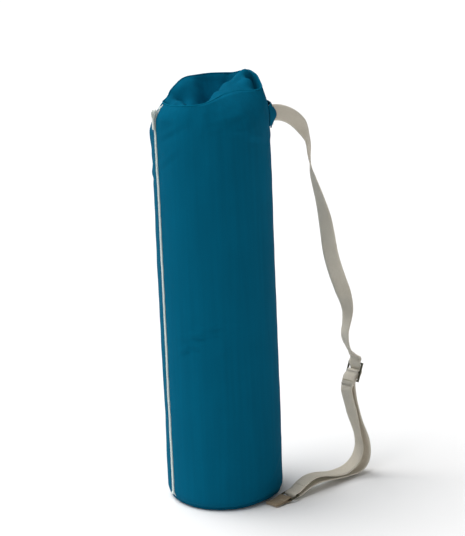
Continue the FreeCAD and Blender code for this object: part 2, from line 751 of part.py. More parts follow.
def make_ring_tab():
    """A folded tab of webbing, sewn to the foot of the cover, that holds the ring's inner bar."""
    body = new_body("ring_tab_loop")
    hole = corner_radius("ring_wire") + " + eye_clearance"
    outer = "( " + hole + " + web_thickness )"
    eye = new_sketch(body, "XY_Plane")
    circle(eye, outer)
    pad(body, eye, "web_width", both_ways=True)
    layers = new_sketch(body, "XY_Plane")
    rectangle(
        layers, "0 - tab_length", "0", "0 - " + outer, "0 - " + outer + " + 2 * web_thickness"
    )
    pad(body, layers, "web_width", both_ways=True)
    bar = new_sketch(body, "XY_Plane")
    circle(bar, hole)
    pad(body, bar, "2 * web_width", both_ways=True, cut=True)
    place = strap_plane(size("ring_along"), size("ring_up"))
    body.Placement = place
    tube = doc.addObject("Part::Cylinder", "tab_tube")
    tube.setExpression("Radius", with_sheet("cover_radius"))
    tube.setExpression("Height", with_sheet("cover_height"))
    tab = doc.addObject("Part::Cut", "ring_tab_cut")
    tab.Base = body
    tab.Tool = tube
    doc.recompute()
    finish(tab, "ring_tab")

    tack = new_body("ring_tab_tack")
    top = "0 - " + outer + " + 2 * web_thickness"
    row = new_sketch(tack, "XY_Plane")
    middle = "0 - tab_length * 0.4"
    rectangle(
        row, middle + " - tack_width / 2", middle + " + tack_width / 2",
        top, top + " + tack_thickness",
    )
    pad(tack, row, "tack_length / 2", both_ways=True)
    free_side = FreeCAD.Vector(0, 0, size("web_width") / 4)
    tack.Placement = place.multiply(FreeCAD.Placement(free_side, FreeCAD.Rotation()))
    finish(tack, "ring_tab_tack")


# ---------------------------------------------------------------- build and write

def check_document():
    doc.recompute()
    for item in doc.Objects:
        broken = [state for state in item.State if state in ("Invalid", "Error")]
        if broken:
            raise SystemExit("%s: %s" % (item.Label, broken))
    for piece in finished:
        if piece.Shape.isNull() or not piece.Shape.isValid() or not piece.Shape.Solids:
            raise SystemExit("%s has no valid solid" % piece.Label)


def write_parts():
    os.makedirs("parts", exist_ok=True)
    for piece in finished:
        piece.Shape.exportStep("parts/%s.step" % piece.Label)
        box = piece.Shape.BoundBox
        print("%-20s %d solid(s) %10.0f mm3  x %.1f..%.1f  y %.1f..%.1f  z %.1f..%.1f" % (
            piece.Label, len(piece.Shape.Solids), piece.Shape.Volume,
            box.XMin, box.XMax, box.YMin, box.YMax, box.ZMin, box.ZMax))


fill_sheet()
make_cover_panel()
make_top_end_panel()
make_bottom_end_panel()
make_core()
make_zip_sides()
make_zip_stops()
make_zip_slider()
make_zip_pull()
make_anchor_patch()
make_strap()
make_ring_tab()
make_ring()
make_slide()
make_end_fold()
check_document()
write_parts()
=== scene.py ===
# %% [markdown]
# # A bolster in its zip-up carry cover
# The real object is a long round bolster, packed in a cylinder of petrol-blue canvas. An ivory zip
# runs up one side, and a shoulder strap of natural webbing goes from a patch near the top, through
# a slide, to a ring at the foot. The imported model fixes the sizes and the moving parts. Here each
# piece gets its sewn shape, its cloth and its stitches, in metres and in the model's own frame.

# %% Load the fixed frame
import math

import bmesh
import bpy
import numpy as np
from mathutils import Matrix, Vector, noise


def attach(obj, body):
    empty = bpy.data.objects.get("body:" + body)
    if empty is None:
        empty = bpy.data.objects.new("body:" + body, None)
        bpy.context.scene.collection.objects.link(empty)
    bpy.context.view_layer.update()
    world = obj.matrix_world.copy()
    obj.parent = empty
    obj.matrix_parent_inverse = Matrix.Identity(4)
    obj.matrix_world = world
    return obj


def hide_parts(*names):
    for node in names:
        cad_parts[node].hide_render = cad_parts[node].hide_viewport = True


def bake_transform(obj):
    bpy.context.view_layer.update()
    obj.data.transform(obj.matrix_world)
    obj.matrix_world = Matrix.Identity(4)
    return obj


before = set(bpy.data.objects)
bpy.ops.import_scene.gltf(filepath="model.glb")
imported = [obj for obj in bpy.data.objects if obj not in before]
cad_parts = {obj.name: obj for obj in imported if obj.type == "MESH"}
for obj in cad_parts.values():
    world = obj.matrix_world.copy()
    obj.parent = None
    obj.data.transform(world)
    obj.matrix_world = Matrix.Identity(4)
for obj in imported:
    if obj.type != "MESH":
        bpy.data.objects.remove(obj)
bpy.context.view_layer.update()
MM = 0.001

# %% [markdown]
# ## The camera
# The object is seen from a little above, through a long lens, with the camera rolled by two
# degrees. The camera comes first, because the strap is laid out so that it reads well from here.

# %% Camera
ELEVATION, ROLL = math.radians(19.131), math.radians(-2.389)
DISTANCE = 5.0
LENS_MM, SENSOR_MM = 218.95, 36.0
LOOK_AT = Vector((0.0248, 0.0, 0.3676))

forward = Vector((0, math.cos(ELEVATION), -math.sin(ELEVATION)))
level_right = Vector((1, 0, 0))
level_up = level_right.cross(forward)
right = level_right * math.cos(ROLL) + level_up * math.sin(ROLL)
upward = level_up * math.cos(ROLL) - level_right * math.sin(ROLL)

camera_data = bpy.data.cameras.new("camera")
camera_data.lens = LENS_MM
camera_data.sensor_width = SENSOR_MM
camera = bpy.data.objects.new("camera", camera_data)
bpy.context.collection.objects.link(camera)
turn = Matrix((right, upward, -forward)).transposed().to_4x4()
camera.matrix_world = Matrix.Translation(LOOK_AT - forward * DISTANCE) @ turn
bpy.context.scene.camera = camera
print("camera height %.2f m" % camera.matrix_world.translation.z)

# %% [markdown]
# ## Shader maths as plain expressions
# A cloth is a pattern, and a pattern is arithmetic on coordinates. Math nodes do arithmetic, but a
# tree of them is hard to read, so one small class wraps a socket and lets Python's own operators
# add the nodes.


# %% A socket that can be added, multiplied and compared
class Wire:
    def __init__(self, cloth, socket):
        self.cloth, self.socket = cloth, socket

    def math(self, operation, *others):
        return self.cloth.node("ShaderNodeMath", {"operation": operation}, [self, *others])

    def __add__(self, other):
        return self.math("ADD", other)

    def __sub__(self, other):
        return self.math("SUBTRACT", other)

    def __mul__(self, other):
        return self.math("MULTIPLY", other)

    __radd__, __rmul__ = __add__, __mul__

    def __rsub__(self, other):
        return self.cloth.node("ShaderNodeMath", {"operation": "SUBTRACT"}, [other, self])

    def sine(self):
        return self.math("SINE")

    def size(self):
        return self.math("ABSOLUTE")

    def between(self, low, high):
        """0 below low, 1 above high, and smooth between them."""
        return self.cloth.node(
            "ShaderNodeMapRange", {"interpolation_type": "SMOOTHSTEP"}, [self, low, high, 0.0, 1.0]
        )


class Finish:
    """A material with one Principled shader, whose nodes are added by calls and expressions."""

    def __init__(self, name):
        self.material = bpy.data.materials.new(name)
        self.material.use_nodes = True
        self.tree = self.material.node_tree
        self.shader = self.tree.nodes["Principled BSDF"]

    def node(self, kind, settings=None, inputs=(), output=0):
        made = self.tree.nodes.new(kind)
        for key, value in (settings or {}).items():
            setattr(made, key, value)
        pairs = inputs.items() if isinstance(inputs, dict) else enumerate(inputs)
        for key, value in pairs:
            self.give(made.inputs[key], value)
        return Wire(self, made.outputs[output])

    def give(self, socket, value):
        if isinstance(value, Wire):
            self.tree.links.new(value.socket, socket)
        else:
            socket.default_value = value

    def place(self, source="Object"):
        """The three coordinates of a point, in metres, or its UV map."""
        spot = self.node("ShaderNodeTexCoord", output=source)
        apart = self.node("ShaderNodeSeparateXYZ", inputs=[spot])
        parts = apart.socket.node.outputs
        return spot, [Wire(self, parts[axis]) for axis in "XYZ"]

    def noise(self, spot, scale, detail=2.0):
        return self.node(
            "ShaderNodeTexNoise", {}, {"Vector": spot, "Scale": scale, "Detail": detail}, "Fac"
        )

    def mix(self, share, first, second):
        """One colour mixed into another; a plain colour is a tuple of four."""
        made = self.tree.nodes.new("ShaderNodeMix")
        made.data_type = "RGBA"
        self.give(made.inputs[0], share)
        self.give(made.inputs[6], first)
        self.give(made.inputs[7], second)
        return Wire(self, made.outputs[2])

    def bump(self, height, depth, strength=1.0):
        made = self.node(
            "ShaderNodeBump", {}, {"Height": height, "Distance": depth, "Strength": strength}
        )
        self.give(self.shader.inputs["Normal"], made)

    def set(self, **values):
        for name, value in values.items():
            self.give(self.shader.inputs[name.replace("_", " ")], value)
        return self


def colour(red, green, blue):
    """A colour picked on a screen, 0 to 255, as the linear light that Blender works in."""
    def linear(part):
        part = part / 255
        return part / 12.92 if part <= 0.04045 else ((part + 0.055) / 1.055) ** 2.4
    return (linear(red), linear(green), linear(blue), 1.0)


print("shader helpers ready")

# %% [markdown]
# ## The cover's cloth
# The cover is a tight cotton twill, dyed petrol blue. Its diagonal ribs are about a millimetre
# apart, so they only show close up. What shows from across a room is that the dye is a little
# uneven, in soft patches and in faint streaks that run down the tube, and that the cloth has
# hardly any gloss. So one soft noise and one stretched noise move the colour, and the roughness
# stays high.

# %% Petrol-blue twill
RIB_M = 0.0011
TWILL_RADIUS = 0.09  # turns an angle into metres round the tube


def twill(name, deep, lit):
    cloth = Finish(name)
    spot, (x, y, z) = cloth.place()
    patches = cloth.noise(spot, 11.0, 3.0)
    hung = cloth.node("ShaderNodeMapping", {}, {"Vector": spot, "Scale": (130.0, 130.0, 5.0)})
    streaks = cloth.noise(hung, 1.0, 2.0)
    fibres = cloth.noise(spot, 900.0, 2.0)
    rib = ((z + cloth.node("ShaderNodeMath", {"operation": "ARCTAN2"}, [y, x]) * TWILL_RADIUS)
           * (2 * math.pi / RIB_M)).sine()
    shade = patches * 0.30 + streaks * 0.40 + fibres * 0.30
    cloth.set(
        Base_Color=cloth.mix(shade, deep, lit),
        Roughness=fibres * 0.12 + 0.78,
        Specular_IOR_Level=0.03,
    )
    cloth.bump(rib * 0.35 + fibres, 0.00018, 0.5)
    return cloth.material


cover_cloth = twill("cover_cloth", colour(0, 74, 100), colour(0, 102, 134))
# The welts use the cover's cloth made lighter: a painted highlight along both seams.
welt_cloth = twill("welt_cloth", colour(0, 82, 108), colour(0, 110, 142))
liner_cloth = twill("liner_cloth", colour(196, 188, 170), colour(214, 207, 190))
print("cover cloth and its welts")

# %% [markdown]
# ## Webbing, tape and thread
# Webbing is woven in a herringbone: ribs that run one way on one half and the other way on the
# other. The pattern follows the strap round every bend, so it reads the piece's own UV map, which
# holds metres along and across the webbing. The ring's tab is the same weave, with its colours
# darkened to a brown as painted shade, and the zip's tapes are finer.

# %% Natural cotton webbing
WEB_WIDTH, WEB_THICK, WEB_RIB_M = 0.025, 0.002, 0.0021


def woven(name, dark, pale, rib_m, half_width, depth):
    web = Finish(name)
    _, (along, across, _) = web.place("UV")
    where, _ = web.place()
    from_middle = across.size()
    ribs = ((along + from_middle * 0.9) * (2 * math.pi / rib_m)).sine()
    picks = (across * (2 * math.pi / (rib_m * 0.7))).sine()
    fuzz = web.noise(where, 700.0, 3.0)
    wear = web.noise(where, 26.0, 2.0)
    selvedge = from_middle.between(half_width * 0.82, half_width * 0.95)
    share = ribs * 0.16 + picks * 0.06 + fuzz * 0.45 + wear * 0.3 + selvedge * 0.12
    web.set(
        Base_Color=web.mix(share, dark, pale),
        Roughness=fuzz * 0.1 + 0.82,
        Sheen_Weight=0.15, Sheen_Roughness=0.5, Specular_IOR_Level=0.2,
    )
    web.bump(ribs * 0.5 + picks * 0.3 + fuzz * 0.6, depth, 0.7)
    return web.material


webbing = woven(
    "webbing", colour(190, 179, 158), colour(255, 250, 238), WEB_RIB_M, WEB_WIDTH / 2, 0.0004
)
# The tab is natural webbing; its darker, browner colours are painted shade.
tab_weave = woven(
    "tab_weave", colour(116, 98, 76), colour(190, 174, 148), WEB_RIB_M, WEB_WIDTH / 2, 0.0004
)
zip_tape = woven("zip_tape", colour(216, 226, 223), colour(244, 249, 247), 0.0014, 0.0065, 0.0002)


# %% Thread, nylon and metal
def plain(name, shade, roughness, grain, depth, metallic=0.0, gloss=0.5):
    made = Finish(name)
    spot, _ = made.place()
    mottle = made.noise(spot, grain, 3.0)
    low = tuple(part * 0.8 for part in shade[:3]) + (1.0,)
    made.set(
        Base_Color=made.mix(mottle, low, shade),
        Roughness=mottle * 0.16 + roughness - 0.08,
        Metallic=metallic, Specular_IOR_Level=gloss,
    )
    made.bump(mottle, depth, 0.4)
    return made.material


teal_thread = plain("teal_thread", colour(0, 108, 134), 0.8, 900.0, 0.0001, gloss=0.2)
natural_thread = plain("natural_thread", colour(196, 188, 166), 0.8, 900.0, 0.0001, gloss=0.2)
zip_nylon = plain("zip_nylon", colour(222, 234, 230), 0.45, 300.0, 0.00005)
zip_enamel = plain("zip_enamel", colour(206, 214, 208), 0.42, 160.0, 0.00004)
dark_metal = plain("dark_metal", colour(92, 90, 74), 0.32, 90.0, 0.00006, metallic=0.9)
filling = plain("filling", colour(225, 220, 208), 0.95, 60.0, 0.002, gloss=0.1)
print(len(bpy.data.materials), "materials")

# %% [markdown]
# ## Making a piece
# Every piece ends the same way: a mesh at the origin, with its place in its points, a material and
# a body to ride on. One helper does all but the riding, which comes after a piece's thickness, and
# another lays a grid of faces over rows of points.


# %% Helpers for pieces
def piece(name, points, faces, material, smooth=True, uv=None):
    mesh = bpy.data.meshes.new(name)
    mesh.from_pydata([tuple(p) for p in points], [], [tuple(f) for f in faces])
    if uv is not None:
        layer = mesh.uv_layers.new(name="UVMap")
        flat = np.array([uv[loop.vertex_index] for loop in mesh.loops], float)
        layer.data.foreach_set("uv", flat.ravel())
    mesh.validate()
    mesh.polygons.foreach_set("use_smooth", [smooth] * len(mesh.polygons))
    made = bpy.data.objects.new(name, mesh)
    bpy.context.collection.objects.link(made)
    made.data.materials.append(material)
    return made


def grid_faces(rows, columns, closed=False):
    """Quads over rows of points that follow each other; closed joins each row's ends."""
    faces = []
    for row in range(rows - 1):
        for column in range(columns if closed else columns - 1):
            after = (column + 1) % columns
            faces.append((
                row * columns + column, row * columns + after,
                (row + 1) * columns + after, (row + 1) * columns + column,
            ))
    return faces


def bake(made):
    """Turns an object with its modifiers into a plain mesh."""
    bpy.context.view_layer.update()
    shown = made.evaluated_get(bpy.context.evaluated_depsgraph_get())
    mesh = bpy.data.meshes.new_from_object(shown)
    made.modifiers.clear()
    old, made.data = made.data, mesh
    mesh.name = made.name
    bpy.data.meshes.remove(old)
    return made


def thicken(made, thickness, offset=-1.0, bevel=0.0):
    wall = made.modifiers.new("wall", "SOLIDIFY")
    wall.thickness, wall.offset = thickness, offset
    if bevel:
        soft = made.modifiers.new("soft", "BEVEL")
        soft.width, soft.segments, soft.limit_method = bevel, 2, "ANGLE"
    return bake(made)


def outward(made):
    """Turns all faces of a closed piece to point out of it."""
    shape = bmesh.new()
    shape.from_mesh(made.data)
    bmesh.ops.remove_doubles(shape, verts=shape.verts, dist=1e-6)
    bmesh.ops.recalc_face_normals(shape, faces=shape.faces)
    shape.to_mesh(made.data)
    shape.free()
    return made


print("piece helpers ready")

# %% [markdown]
# ## The strap
# The strap is one length of 25 mm webbing in three runs. Each run is a smooth curve through the
# strap's own plane, which stands at 40 degrees beside the tube and leans over it a little. A flat
# strap also twists as it hangs, so a second curve gives the twist along each run. A ribbon is then
# laid along the curve, which keeps the webbing's true width everywhere.

# %% The strap's plane and its three routes
HEADING, LEAN, STANDOFF = math.radians(40.0), math.radians(4.5), 0.101
ahead = Vector((math.cos(HEADING), math.sin(HEADING), 0))
aside = Vector((math.sin(HEADING), -math.cos(HEADING), 0))
plane_normal = aside * math.cos(LEAN) + Vector((0, 0, math.sin(LEAN)))
plane_up = plane_normal.cross(ahead)


def in_plane(along, up, out=0.0):
    return aside * STANDOFF + ahead * along + plane_up * up + plane_normal * out


UPPER = [
    (0.0620, 0.6130), (0.0820, 0.6126), (0.1030, 0.6060), (0.1230, 0.5930), (0.1385, 0.5750),
    (0.1465, 0.5520), (0.1450, 0.5260), (0.1485, 0.4980), (0.1570, 0.4680), (0.1645, 0.4370),
    (0.1685, 0.4030), (0.1705, 0.3690), (0.1790, 0.3340), (0.1900, 0.3020), (0.1975, 0.2720),
    (0.1925, 0.2500), (0.1850, 0.2320), (0.1880, 0.2120), (0.1980, 0.1990), (0.2032, 0.1924),
]
LOWER = [
    (0.2032, 0.1924), (0.2066, 0.1881), (0.2007, 0.1820), (0.2059, 0.1641), (0.1887, 0.1568),
    (0.1877, 0.1484), (0.1893, 0.1330), (0.1920, 0.1130), (0.1960, 0.0890), (0.2030, 0.0630),
    (0.2075, 0.0400), (0.2045, 0.0200), (0.1910, 0.0070), (0.1700, 0.0038), (0.1460, 0.0065),
    (0.1200, 0.0120), (0.0940, 0.0145), (0.0740, 0.0105), (0.0600, 0.0050), (0.0520, 0.0043),
    (0.0466, 0.0043), (0.0466, 0.0104), (0.0520, 0.0104),
]
RETURN = [
    (0.0520, 0.0104), (0.0560, 0.0104), (0.0740, 0.0200), (0.0930, 0.0245), (0.1130, 0.0215),
    (0.1340, 0.0150), (0.1560, 0.0125), (0.1770, 0.0175), (0.1915, 0.0290), (0.1975, 0.0450),
    (0.1950, 0.0660), (0.1895, 0.0900), (0.1850, 0.1130), (0.1805, 0.1330), (0.1795, 0.1431),
    (0.1822, 0.1488),
]


def smooth_line(route, name):
    """The points of a smooth curve over a route in the strap's plane, and its length."""
    data = bpy.data.curves.new(name, "CURVE")
    data.dimensions = "3D"
    spline = data.splines.new("NURBS")
    spline.points.add(len(route) - 1)
    for point, (along, up) in zip(spline.points, route):
        point.co = (*in_plane(along, up), 1.0)
    spline.order_u = 3
    spline.use_endpoint_u = True
    spline.resolution_u = 8
    holder = bpy.data.objects.new(name, data)
    bpy.context.collection.objects.link(holder)
    bpy.context.view_layer.update()
    shown = holder.evaluated_get(bpy.context.evaluated_depsgraph_get())
    mesh = bpy.data.meshes.new_from_object(shown)
    line = np.array([v.co[:] for v in mesh.vertices], float)
    bpy.data.objects.remove(holder)
    bpy.data.curves.remove(data)
    bpy.data.meshes.remove(mesh)
    keep = np.r_[True, np.linalg.norm(np.diff(line, axis=0), axis=1) > 1e-5]
    line = line[keep]
    gone = np.r_[0, np.cumsum(np.linalg.norm(np.diff(line, axis=0), axis=1))]
    print("%-18s %.0f mm" % (name, gone[-1] / MM))
    return line, gone


def directions(line):
    ahead_of = np.gradient(line, axis=0)
    return ahead_of / np.linalg.norm(ahead_of, axis=1)[:, None]


def ribbon(name, line, gone, twist, width=WEB_WIDTH, thick=WEB_THICK, across=7,
           body="cover", material=webbing, flat=plane_normal):
    """A flat band along a line. twist gives degrees of turn about the line, by share of length."""
    ways = directions(line)
    share = gone / gone[-1]
    turns = np.radians(np.interp(share, [s for s, _ in twist], [a for _, a in twist]))
    points, uv = [], []
    for spot, way, angle, far in zip(line, ways, turns, gone):
        side = np.array(flat) - way * np.dot(np.array(flat), way)
        side /= np.linalg.norm(side)
        normal = np.cross(side, way)
        side, normal = (side * math.cos(angle) + normal * math.sin(angle),
                        normal * math.cos(angle) - side * math.sin(angle))
        around = []
        for step in range(across):
            place = step / (across - 1) - 0.5
            around.append((place, 0.5 if 0 < step < across - 1 else 0.32))
        around += [(place, -lift) for place, lift in reversed(around)]
        for place, lift in around:
            points.append(spot + side * place * width + normal * lift * thick)
            uv.append((far, place * width))
    loop = 2 * across
    faces = grid_faces(len(line), loop, closed=True)
    last = (len(line) - 1) * loop
    faces += [tuple(reversed(range(loop))), tuple(range(last, last + loop))]
    made = piece(name, points, faces, material, uv=uv)
    outward(made)
    for number in (-1, -2):
        made.data.polygons[number].use_smooth = False
    if body:
        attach(made, body)
    return made


# %% The upper run, from the patch to the slide
UPPER_TWIST = [
    (0.00, -75), (0.06, -75), (0.10, -80), (0.14, -86), (0.17, -84), (0.195, -70), (0.22, -57),
    (0.26, -54), (0.29, -46), (0.31, -38), (0.34, -24), (0.38, -14), (0.42, -7), (0.46, 2),
    (0.50, 12), (0.56, 21), (0.62, 27), (0.70, 34), (0.76, 32), (0.80, 14), (0.84, -4),
    (0.88, -15), (0.92, -16), (0.96, -22), (0.985, -12), (1.00, 0),
]
upper_line, upper_gone = smooth_line(UPPER, "strap_upper_line")
upper_run = ribbon("upper_strap", upper_line, upper_gone, UPPER_TWIST, body=None)
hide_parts("strap_upper_run")
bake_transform(upper_run)

# %% The lower run, from the slide to the ring, and the return run back up to the slide
lower_line, lower_gone = smooth_line(LOWER, "strap_lower_line")
return_line, return_gone = smooth_line(RETURN, "strap_return_line")
RING_TURN, RING_TURN_BACK = 0.034, 0.016
at_ring = int(np.searchsorted(lower_gone, lower_gone[-1] - RING_TURN))
from_ring = int(np.searchsorted(return_gone, RING_TURN_BACK))
LOWER_TWIST = [
    (0, 0), (0.16, 0), (0.24, -6), (0.36, 2), (0.46, 18), (0.58, 6), (0.7, -10), (0.85, 0), (1, 0),
]
RETURN_TWIST = [(0, 0), (0.15, 0), (0.35, -8), (0.5, 6), (0.65, 16), (0.8, 0), (1, 0)]
lower_run = ribbon("lower_strap", lower_line[:at_ring + 1], lower_gone[:at_ring + 1],
                   LOWER_TWIST, body=None)
return_run = ribbon("return_strap", return_line[from_ring:],
                    return_gone[from_ring:] - return_gone[from_ring], RETURN_TWIST, body=None)
turn_line = np.vstack([lower_line[at_ring:], return_line[1:from_ring + 1]])
turn_gone = np.r_[0, np.cumsum(np.linalg.norm(np.diff(turn_line, axis=0), axis=1))]
ring_turn = ribbon("strap_round_ring", turn_line, turn_gone, [(0, 0), (1, 0)], body=None)
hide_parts("strap_lower_run")
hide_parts("strap_return_run")
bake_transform(lower_run)
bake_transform(return_run)
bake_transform(ring_turn)

# %% [markdown]
# ## The cover's shape
# A full cover would be a plain cylinder. This bolster is shorter than its cover, so the spare
# cloth at the top has sunk in: the wall leans in on the zip's side, the end panel hangs in a
# hollow, and one broad fold rises over the far edge. The rule for the wall is a list of how far in
# and how high the rim is, all the way round, and the height from which the wall begins to lean.

# %% The rim, all the way round
RADIUS = 0.090
RIM = [  # direction, rim radius, rim height, height where the wall starts to lean, all in mm
    (0, 81, 655, 612), (20, 79, 665, 608), (33, 76, 670, 605), (45, 76, 666, 608),
    (60, 76, 659, 612), (90, 79, 656, 615), (116, 80, 654, 612), (130, 74, 650, 602),
    (150, 69, 641, 590), (165, 68, 636, 588), (180, 69, 638, 590), (192, 71, 641, 603),
    (204, 75.5, 644, 619), (212, 77, 645, 622), (222, 78, 645, 624), (235, 79, 648, 625),
    (250, 79, 650, 618), (262, 76, 651.5, 606), (272, 68, 653.5, 600), (282, 57, 655, 596),
    (295, 50, 656.5, 594), (315, 49, 657.5, 594), (330, 55, 657.5, 595), (342, 68, 655, 600),
    (352, 78.5, 653, 610),
]


def all_round(column):
    """One column of the rim's list as a smooth function of direction."""
    fine = np.arange(0, 360, 1.0)
    level = np.interp(fine, [r[0] for r in RIM], [r[column] for r in RIM], period=360)
    near = np.exp(-0.5 * (np.arange(-12, 13) / 4.0) ** 2)
    near /= near.sum()
    soft = np.convolve(np.r_[level[-12:], level, level[:12]], near, "valid") * MM
    return lambda degrees: float(np.interp(degrees % 360, np.r_[fine, 360], np.r_[soft, soft[0]]))


rim_radius, rim_height, lean_start = (all_round(column) for column in (1, 2, 3))

ZIP_AT = 204.0


def around(degrees, other):
    """Signed degrees from one direction to another."""
    return (degrees - other + 180) % 360 - 180


FOLD_AT, FOLD_SPREAD = 305, 42


def rolled_over(degrees):
    """1 where the broad fold rolls over the rim, and 0 away from it."""
    return math.exp(-(around(degrees, FOLD_AT) / FOLD_SPREAD) ** 4)


def crumple(degrees, height, scale, seed):
    angle = math.radians(degrees)
    spot = Vector((math.cos(angle) * RADIUS, math.sin(angle) * RADIUS, height)) / scale
    return noise.noise(spot + Vector((seed, seed * 0.7, seed * 1.3)))


CREASES = [  # direction, height, tilt in degrees, half length, half width, depth, in mm
    (252, 288, 12, 28, 2.6, 2.6), (244, 270, -18, 14, 2.2, 2.0), (262, 300, 16, 20, 2.6, 1.8),
    (236, 262, 28, 14, 2.2, 1.8), (284, 306, -4, 18, 2.4, 1.3), (276, 262, 20, 16, 2.4, 1.1),
    (292, 626, 6, 30, 4.0, 1.2), (284, 616, 14, 24, 4.0, 0.9), (300, 606, -6, 22, 4.0, 0.8),
    (228, 606, 30, 26, 4.0, 1.0), (222, 560, 40, 26, 4.0, 0.7), (318, 590, -20, 30, 5.0, 0.8),
    (20, 560, -25, 34, 5.0, 1.2), (60, 580, 20, 36, 5.0, 1.3), (100, 600, -8, 36, 5.0, 1.3),
    (130, 570, 18, 36, 6.0, 1.5), (160, 560, -22, 34, 6.0, 1.6), (176, 520, 14, 26, 5.0, 1.0),
    (340, 60, 35, 30, 4.0, 0.9), (326, 40, 20, 26, 4.0, 0.9), (80, 70, -20, 32, 5.0, 0.8),
    (140, 120, 16, 34, 5.0, 0.8), (40, 330, -14, 36, 5.0, 0.7), (110, 380, 18, 36, 5.0, 0.7),
]


FOOT_ROUNDING, FOOT_INSET = 0.018, 0.0095


def wall_radius(degrees, height):
    """The cover's outside, at one direction and height."""
    start, top, rim = lean_start(degrees), rim_height(degrees), rim_radius(degrees)
    share = min(max((height - start) / (top - start), 0.0), 1.0)
    radius = RADIUS - (RADIUS - rim) * share ** (1.6 + 1.4 * rolled_over(degrees))
    foot = min(max(1 - height / FOOT_ROUNDING, 0.0), 1.0)
    radius -= FOOT_INSET * foot ** 2
    radius += crumple(degrees, height * 0.3, 0.013, 9.0) * 0.0012 * foot
    shoulder = math.exp(-((height - 0.590) / 0.020) ** 2)
    shoulder *= math.exp(-(around(degrees, 172) / 24) ** 2)
    radius += 0.0025 * shoulder
    slack = min(max((height - 0.50) / 0.12, 0.0), 1.0)
    radius += crumple(degrees, height * 0.5, 0.060, 3.0) * 0.0011
    radius += crumple(degrees, height * 0.8, 0.024, 7.0) * (0.0005 + 0.0012 * slack)
    from_zip = abs(around(degrees, ZIP_AT)) * math.pi / 180 * RADIUS
    pucker = math.exp(-(from_zip / 0.016) ** 2) * min(from_zip / 0.007, 1.0)
    beside_zip = Vector((around(degrees, ZIP_AT) * 0.05, 2.0, height / 0.013))
    radius += pucker * 0.0009 * noise.noise(beside_zip)
    for direction, middle, tilt, length, width, depth in CREASES:
        sideways = around(degrees, direction) * math.pi / 180 * RADIUS
        rise = height - middle * MM
        if abs(sideways) > 0.07 or abs(rise) > 0.07:
            continue
        turn_by = math.radians(tilt)
        along = sideways * math.cos(turn_by) + rise * math.sin(turn_by)
        off = rise * math.cos(turn_by) - sideways * math.sin(turn_by)
        near = math.exp(-(along / (length * MM)) ** 2)
        ridge = off / (width * MM)
        radius += depth * MM * near * (math.exp(-(ridge - 1) ** 2) - math.exp(-(ridge + 1) ** 2))
    return radius


def on_wall(degrees, height, out=0.0):
    angle = math.radians(degrees)
    radius = wall_radius(degrees, height) + out
    return Vector((math.cos(angle) * radius, math.sin(angle) * radius, height))


# %% The side panel, rolled round from one edge of the zip to the other
PANEL_WALL = 0.0012
FOOT_SEAM, LIFTED_SEAM = 0.0045, 0.0055


def foot_height(degrees):
    """The foot seam is pulled up a little where the ring's tab is sewn to it."""
    return FOOT_SEAM + LIFTED_SEAM * math.exp(-(around(degrees, 316) / 24) ** 2)


ZIP_HALF_GAP = 0.0046
ZIP_GAP_DEGREES = math.degrees(ZIP_HALF_GAP / RADIUS)
COLUMNS, ROWS = ((280, 160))
panel_points = []
for row in range(ROWS):
    for column in range(COLUMNS):
        degrees = ZIP_AT + ZIP_GAP_DEGREES + (360 - 2 * ZIP_GAP_DEGREES) * column / (COLUMNS - 1)
        top = rim_height(degrees)
        share = row / (ROWS - 1)
        share = share + 0.12 * math.sin(math.pi * share) * share
        foot = foot_height(degrees)
        panel_points.append(on_wall(degrees, foot + (top - foot) * share))
side_panel = piece(
    "side_panel", panel_points, grid_faces(ROWS, COLUMNS), cover_cloth
)
thicken(side_panel, PANEL_WALL)
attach(side_panel, "cover")
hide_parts("cover_panel")
print("side panel: %d faces" % len(side_panel.data.polygons))

# %% [markdown]
# ## The slack end panel
# The round panel at the top is drawn in by its own weight. A smooth surface through a few dozen
# chosen heights gives its hollow, the crest of the broad fold and the small pocket beyond it. The
# method is a thin plate: the least bent sheet that passes through every chosen point.

# %% Heights that shape the end panel
FOLDS = [  # x, y and height, in mm
    # the crest of the broad fold, and the hump at its far end
    (0, -57, 652.5), (9, -26, 656.5), (22, 4, 660), (40, 26, 665.5), (57, 37, 671), (64, 38, 669),
    (58, 46, 666),
    # the steep far side of the fold, down into the hollow
    (-9, -45, 638), (-1, -20, 638), (12.5, 9.6, 640), (30.5, 31.6, 645), (-10, -15, 616),
    (3, 15, 611), (21, 37, 616),
    # the hollow's floor and its far wall
    (-8, 8, 605), (0, 30, 603), (8, 46, 607), (10, 62, 622), (24, 60, 630), (42, 56, 650),
    (-8, 68, 636), (30, 68, 640),
    # the soft left part: a rolled collar, a dip behind it and a ridge that runs to the front
    (-25, -55, 641), (-45, -42, 640), (-58, -30, 627), (-60, -8, 633), (-48, -12, 641),
    (-38, -30, 641), (-26, -34, 628), (-30, -10, 628), (-62, 16, 640), (-46, 6, 636),
    (-34, 4, 630), (-22, 4, 616), (-54, 26, 637), (-40, 26, 625), (-28, 28, 627), (-17, 26, 620),
    (-42, 46, 646), (-28, 46, 641), (-17, 46, 634), (-24, 66, 650), (-12, 52, 632),
    # the broad fold's near slope
    (12, -44, 656), (28, -34, 658.5), (42, -22, 659), (20, -26, 658.5), (32, -12, 660.5),
    (46, 4, 663), (58, 12, 664), (63, 25, 667),
    # the lip and the floor of the small pocket
    (67, 2, 660), (74, -14, 651), (73, 10, 630), (76.5, 0, 636), (70, 23, 640), (71, 17, 631),
]


def rim_point(degrees, share=1.0):
    angle = math.radians(degrees)
    reach = wall_radius(degrees, rim_height(degrees)) * share
    return np.array([math.cos(angle) * reach, math.sin(angle) * reach])


anchors = [(x * MM, y * MM, z * MM) for x, y, z in FOLDS]
anchors += [(*rim_point(d), rim_height(d)) for d in range(0, 360, 8)]
anchors = np.array(anchors)


def plate_kernel(first, second):
    gap = np.linalg.norm(first[:, None, :] - second[None, :, :], axis=2) / RADIUS
    return np.where(gap > 0, gap ** 2 * np.log(gap + 1e-12), 0.0)


